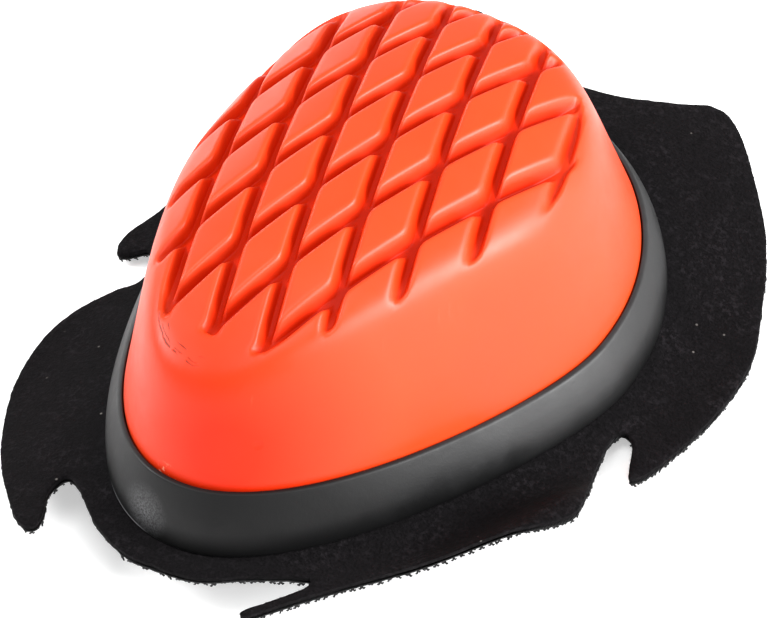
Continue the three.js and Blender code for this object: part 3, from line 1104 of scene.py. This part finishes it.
def plan_mesh(loop, spacing, bevel):
    """Flat triangles over the inside of a loop, with a narrow band along its edge. Gives the points, which
    of them are the edge's, and the faces."""
    band = loop + inward(loop) * bevel
    points = np.vstack([loop, band, field(loop, spacing, bevel + spacing * 0.6)])
    count = len(loop)
    sides = [(k, (k + 1) % count) for k in range(count)]
    inner = [(count + a, count + b) for a, b in sides]
    flat = [Vector(p) for p in points]
    places, _, faces, origins = delaunay_2d_cdt(flat, sides + inner, [], 0, 1e-7, True)[:4]
    places = np.array([tuple(p) for p in places])
    on_edge = np.array([any(o < count for o in origin) for origin in origins])
    kept = inside(loop, np.array([places[list(face)].mean(0) for face in faces]))
    return places, on_edge, [face for face, keep in zip(faces, kept) if keep]


def cloth_slab(name, loop, low, high, spacing, bevel, sag):
    """A sheet over the panel's plan between two heights over the reference surface, with worn edges"""
    places, on_edge, faces = plan_mesh(loop, spacing, bevel)
    height = panel_height(places[:, 0], places[:, 1])
    points = np.column_stack([places, height + low + sag * on_edge])
    obj = mesh_object(name, points, faces)
    pick(obj)
    bpy.ops.object.mode_set(mode="EDIT")
    bpy.ops.mesh.select_all(action="SELECT")
    bpy.ops.mesh.delete_loose()
    bpy.ops.mesh.select_all(action="SELECT")
    bpy.ops.mesh.extrude_region_move(TRANSFORM_OT_translate={"value": (0, 0, high - low)})
    bpy.ops.object.mode_set(mode="OBJECT")
    points = get_points(obj)
    level = points[:, 2] - panel_height(points[:, 0], points[:, 1])
    raised = level > (low + high) / 2
    points[:, 2] -= np.where(raised & (level > high + sag / 2), 2 * sag, 0)
    set_points(obj, points)
    weld(obj, 0.001 * MM)
    return obj


def worn_outline(amount, seed):
    """The panel's outline with its points moved in and out a little"""
    loop = even(outline(), EDGE_SPACING)
    draw = np.random.default_rng(seed)
    stations = np.arange(0, len(loop) + 4, 4)
    waves = draw.normal(0, 1, len(loop) // 4 + 2)[: len(stations)]
    coarse = np.interp(np.arange(len(loop)), stations, waves)
    fine = draw.normal(0, 1, len(loop))
    return loop + inward(loop) * (amount * (0.6 * coarse + 0.6 * fine))[:, None]


class SLIDER_OT_felt(bpy.types.Operator):
    """Model the felt backing and the fibres that stand off it"""

    bl_idname = "slider.felt"
    bl_label = "Felt backing"

    def execute(self, context):
        s = sizes()
        loop = worn_outline(0.06 * MM, 3)
        low = s.panel.hooks + s.base.clearance
        high = low + s.panel.felt
        felt = cloth_slab("felt_sheet", loop, low, high, spacing=1.5 * MM, bevel=0.3 * MM, sag=0.2 * MM)
        material = felt_material()
        finish_piece(felt, material, "felt_backing")
        fibres = self.fibres(loop)
        finish_piece(fibres, material)
        return {"FINISHED"}

    def fibres(self, loop):
        """Loose fibres: many along the edge, the rest spread over the felt"""
        s = sizes().panel
        draw = random.Random(11)
        sides = 3
        bends = 3
        points = []
        faces = []
        spots = []
        border = inward(loop)
        for _ in range(s.fibres):
            k = draw.randrange(len(loop))
            at_edge = draw.random() < EDGE_FIBRES
            depth = draw.uniform(0, 0.3) if at_edge else draw.uniform(1, 30)
            spots.append((loop[k] + border[k] * depth * MM, at_edge, k))
        places = np.array([spot[0] for spot in spots])
        within = inside(loop, places)
        heights = panel_height(places[:, 0], places[:, 1]) + felt_top() - 0.05 * MM
        for ((x, y), at_edge, k), on_felt, z in zip(spots, within, heights):
            if not at_edge and not on_felt:
                continue
            if at_edge:
                z -= draw.uniform(0, s.felt)
                turn = math.atan2(-border[k][1], -border[k][0]) + draw.gauss(0, 0.9)
                lift = draw.uniform(-0.2, 0.3)
            else:
                turn = draw.uniform(0, 2 * math.pi)
                lift = draw.uniform(0.02, 0.3)
            reach = s.fibre * draw.uniform(0.4, 1.1) * (EDGE_FIBRE_LENGTH if at_edge else 1)
            curve = draw.uniform(-1.6, 1.6)
            start = len(points)
            px, py, pz = x, y, z
            for step in range(bends + 1):
                share = step / bends
                heading = turn + curve * share
                thick = s.fibre_radius * (1 - 0.6 * share)
                for side in range(sides):
                    about = 2 * math.pi * side / sides
                    out = thick * math.cos(about)
                    up = thick * math.sin(about)
                    points.append((px - math.sin(heading) * out, py + math.cos(heading) * out, pz + up))
                px += math.cos(heading) * reach / bends
                py += math.sin(heading) * reach / bends
                pz += lift * reach / bends * (1 - share)
            faces += tube_faces(start, sides, bends + 1)
        return mesh_object("felt_fibres", points, faces)


class SLIDER_OT_hooks(bpy.types.Operator):
    """Model the hook tape and its field of hooks"""

    bl_idname = "slider.hooks"
    bl_label = "Hook tape"

    def execute(self, context):
        s = sizes().panel
        loop = worn_outline(0.1 * MM, 5)
        low = s.hooks - s.tape
        tape = cloth_slab("hook_tape", loop, low, s.hooks, spacing=1.6 * MM, bevel=0.2 * MM, sag=0.05 * MM)
        material = hook_material()
        finish_piece(tape, material, "hook_layer")
        hooks = self.hooks(loop)
        finish_piece(hooks, material)
        return {"FINISHED"}

    def hooks(self, loop):
        """One double hook, repeated in staggered rows under the tape and along its rim"""
        s = sizes().panel
        template, faces = self.double_hook()
        draw = np.random.default_rng(7)
        spots = field(loop, s.pitch * FIELD_PITCH, FIELD_MARGIN)
        spots = spots + draw.normal(0, 0.15 * MM, spots.shape)
        turns = draw.normal(0, 0.4, len(spots))
        rim = even(loop, s.pitch * RIM_PITCH)
        rim = rim + draw.normal(0, 0.11 * MM, rim.shape)
        normal = inward(rim)
        spots = np.vstack([spots, rim + normal * 0.36 * MM])
        along_rim = np.arctan2(-normal[:, 0], normal[:, 1])
        turns = np.concatenate([turns, along_rim + draw.normal(0, 0.25, len(rim))])
        scale = np.clip(draw.normal(0.97, 0.13, len(spots)), 0.65, 1.25)
        scale[-len(rim) :] *= RIM_HOOK_SIZE
        level = panel_height(spots[:, 0], spots[:, 1]) + s.hooks - s.tape + 0.03 * MM
        c = np.cos(turns)[:, None] * scale[:, None]
        sn = np.sin(turns)[:, None] * scale[:, None]
        x = spots[:, :1] + template[:, 0] * c - template[:, 1] * sn
        y = spots[:, 1:] + template[:, 0] * sn + template[:, 1] * c
        z = level[:, None] + template[:, 2] * scale[:, None]
        points = np.stack([x, y, z], axis=2).reshape(-1, 3)
        starts = range(0, len(points), len(template))
        copies = [[start + v for v in face] for start in starts for face in faces]
        return mesh_object("hook_field", points, copies)

    def double_hook(self):
        """Points and faces of two hooks that turn away from each other on one stem"""
        s = sizes().panel
        path = np.array(HOOK_PATH) * s.hook_height
        thick = np.array(HOOK_THICKNESS) * s.hook_radius
        sides = 4
        points = []
        faces = []
        for mirror in (1, -1):
            start = len(points)
            for k, (out, down) in enumerate(path):
                way = path[min(k + 1, len(path) - 1)] - path[max(k - 1, 0)]
                way = way / np.linalg.norm(way)
                for side in range(sides):
                    about = 2 * math.pi * (side + 0.5) / sides
                    across = thick[k] * math.cos(about)
                    square = thick[k] * math.sin(about)
                    points.append((mirror * (out - way[1] * square), across, down + way[0] * square))
            tube = tube_faces(start, sides, len(path))
            faces += [face if mirror < 0 else tuple(reversed(face)) for face in tube]
        return np.array(points), faces


def towards(turn, rise):
    """Unit vector at a turn about the slider, 0 before its nose, and a rise over its floor"""
    return Vector((math.sin(turn) * math.cos(rise), -math.cos(turn) * math.cos(rise), math.sin(rise)))


class SLIDER_OT_stage(bpy.types.Operator):
    """Set up the floor, the lights and the camera"""

    bl_idname = "slider.stage"
    bl_label = "Stage"

    def execute(self, context):
        s = sizes().studio
        low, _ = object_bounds()
        fresh()
        bpy.ops.mesh.primitive_plane_add(size=s.floor_size, location=(0, 0, low.z))
        floor = context.object
        floor.name = "floor"
        floor.data.materials.append(floor_material())
        floor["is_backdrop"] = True
        self.camera(s)
        self.world(context.scene)
        for lamp in LAMPS:
            self.light(*lamp)
        return {"FINISHED"}

    def camera(self, s):
        back = towards(s.azimuth, s.elevation)
        bpy.ops.object.camera_add(location=Vector(s.aim) + back * s.distance)
        camera = bpy.context.object
        turned = (-back).to_track_quat("-Z", "Y").to_matrix().to_4x4()
        turned = turned @ Matrix.Rotation(-s.roll, 4, "Z")
        camera.rotation_euler = turned.to_euler()
        camera.data.lens = s.lens
        camera.data.clip_start = 0.01
        camera.data.clip_end = 20
        bpy.context.scene.camera = camera

    def world(self, scene):
        world = bpy.data.worlds.new("soft_room")
        scene.world = world
        world.use_nodes = True
        background = world.node_tree.nodes["Background"]
        background.inputs["Color"].default_value = (1, 1, 1, 1)
        background.inputs["Strength"].default_value = WORLD_STRENGTH
        scene.view_settings.view_transform = "Standard"

    def light(self, name, azimuth, elevation, width, height, power):
        """Soft light that looks at the slider from an angle about it"""
        way = towards(math.radians(azimuth), math.radians(elevation))
        bpy.ops.object.light_add(type="AREA", location=way * LAMP_DISTANCE)
        lamp = bpy.context.object
        lamp.name = name
        lamp.rotation_euler = way.to_track_quat("Z", "Y").to_euler()
        lamp.data.shape = "RECTANGLE"
        lamp.data.size = width
        lamp.data.size_y = height
        lamp.data.energy = power


class SLIDER_PT_panel(bpy.types.Panel):
    """Sidebar panel with the sizes and the steps of the knee slider"""

    bl_idname = "SLIDER_PT_panel"
    bl_label = "Knee Slider"
    bl_space_type = "VIEW_3D"
    bl_region_type = "UI"
    bl_category = "Knee Slider"

    def draw(self, context):
        groups = context.scene.knee_slider
        for key in ("bend", "puck", "tread", "base", "panel", "colours", "studio"):
            box = self.layout.box()
            box.label(text=key.capitalize())
            group = getattr(groups, key)
            for name in group.bl_rna.properties.keys():
                if name not in ("rna_type", "name"):
                    box.prop(group, name)
        for step in STEPS:
            self.layout.operator(step.bl_idname)


STEPS = (SLIDER_OT_puck, SLIDER_OT_base, SLIDER_OT_hooks, SLIDER_OT_felt, SLIDER_OT_stage)
GROUPS = (BendSizes, PuckSizes, TreadSizes, BaseSizes, PanelSizes, Colours, StudioSizes, KneeSlider)
CLASSES = (*GROUPS, *STEPS, SLIDER_PT_panel)


def register():
    for cls in CLASSES:
        bpy.utils.register_class(cls)
    bpy.types.Scene.knee_slider = PointerProperty(type=KneeSlider)


def unregister():
    del bpy.types.Scene.knee_slider
    for cls in reversed(CLASSES):
        bpy.utils.unregister_class(cls)


def main():
    register()
    bpy.ops.slider.puck()
    bpy.ops.slider.base()
    bpy.ops.slider.hooks()
    bpy.ops.slider.felt()
    bpy.ops.slider.stage()


if __name__ == "__main__":
    main()
